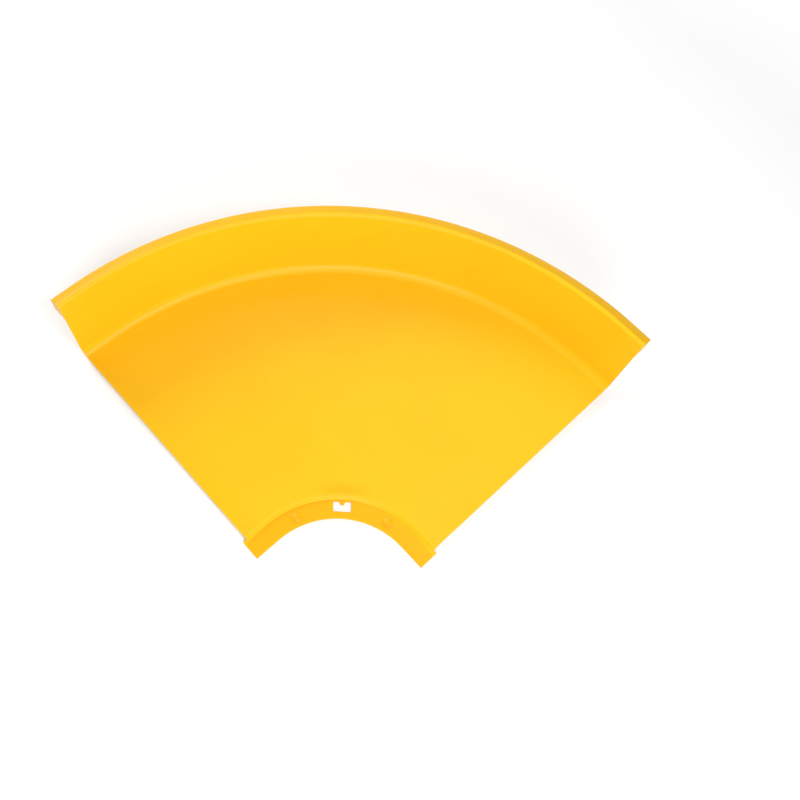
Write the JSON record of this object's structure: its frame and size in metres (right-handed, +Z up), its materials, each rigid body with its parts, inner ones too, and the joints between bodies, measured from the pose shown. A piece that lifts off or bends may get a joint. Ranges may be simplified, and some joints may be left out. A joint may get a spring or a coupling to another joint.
{
  "type": "fibre raceway right-angle fitting",
  "caption": "Fan-shaped cable tray bend with a flat floor, a tall flared outer wall with a hemmed lip, and a stepped inner flange with a latch window.",
  "frame": {"origin": "centre of the outline seen from above, at the flange's underside", "axes": "+Y from the centre of the bend to the middle of the outer wall, +Z up out of the floor, +X along the width"},
  "size_m": [0.5608, 0.3352, 0.0931],
  "materials": {
    "yellow_abs": "satin moulded yellow ABS"
  },
  "bodies": {
    "root": {"elbow_tray": "yellow_abs"}
  },
  "joints": []
}
